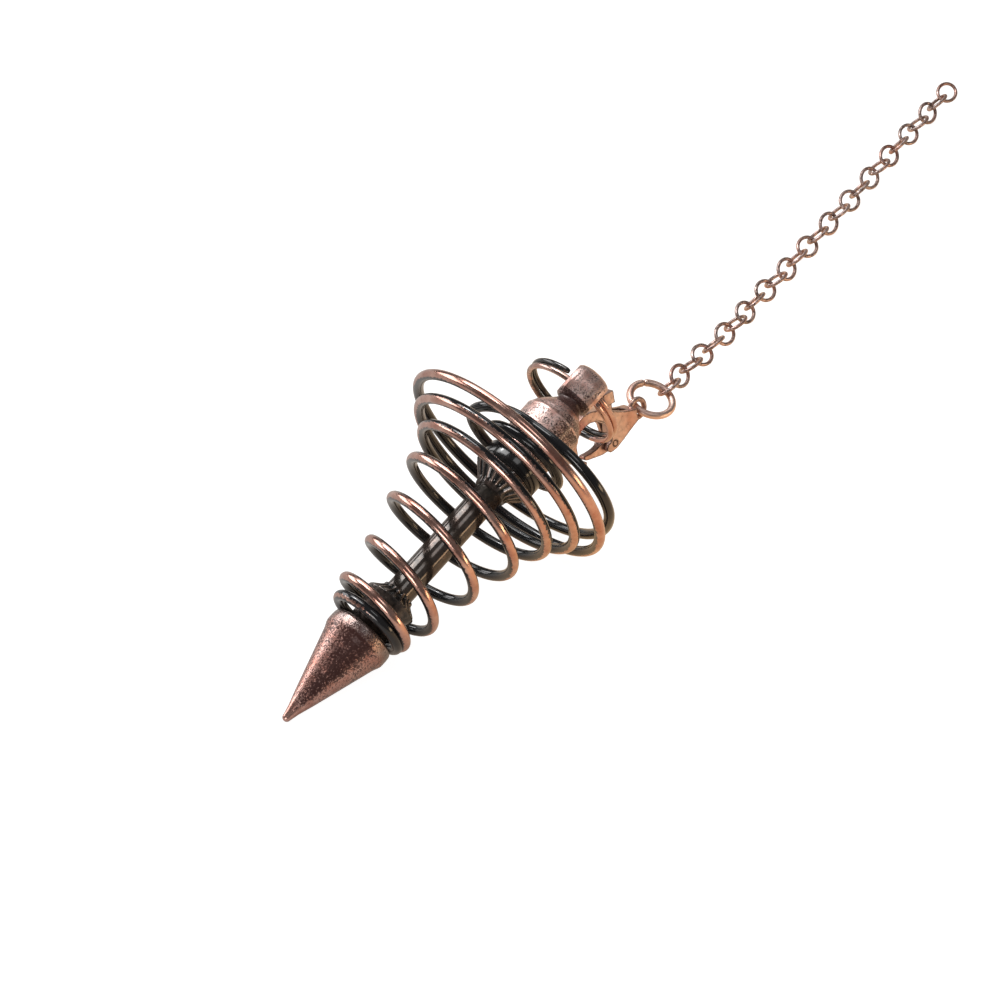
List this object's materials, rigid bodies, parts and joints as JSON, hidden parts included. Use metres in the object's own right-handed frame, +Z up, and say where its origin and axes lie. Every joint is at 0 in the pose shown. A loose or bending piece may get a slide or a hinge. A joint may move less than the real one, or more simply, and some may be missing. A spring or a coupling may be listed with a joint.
{
  "type": "pendulum pendant",
  "caption": "Antique copper dowsing pendulum pendant lying flat: turned cone core in a tapered wire coil, with split ring, lever clasp, jump ring and rolo chain.",
  "frame": {"origin": "the point where the cone's rounded tip rests on the floor; the floor is z = 0", "axes": "+X along the floor from the cone's tip under the core axis to the chain's free end, +Y to the left seen from the tip, +Z up"},
  "size_m": [0.1299, 0.0272, 0.0239],
  "materials": {
    "mottled_copper": "antique, mottled",
    "dark_bronze": "blackened, satin",
    "coil_wire": "antique, polished high spots",
    "ring_wire": "antique, satin",
    "satin_copper": "satin",
    "chain_wire": "antique, dull"
  },
  "bodies": {
    "pendant": {"tip_cone": "mottled_copper", "lower_collar": "dark_bronze", "rod": "dark_bronze", "upper_collar": "dark_bronze", "hub_drum": "dark_bronze", "cap_bail": "mottled_copper", "coil": "coil_wire", "split_ring": "ring_wire", "clasp_body": "satin_copper", "clasp_pin": "satin_copper", "jump_ring": "satin_copper", "chain": "chain_wire"},
    "lever": {"clasp_lever": "satin_copper"}
  },
  "joints": [
    {"name": "clasp_gate", "type": "hinge", "parent": "pendant", "child": "lever", "pos_m": [0.04818, 0.00052, 0.00393], "axis": [0.0652, 0.9436, -0.3246], "range_deg": [0, 18], "stiffness_Nm_per_rad": 0.002, "springref_deg": -8.59}
  ]
}
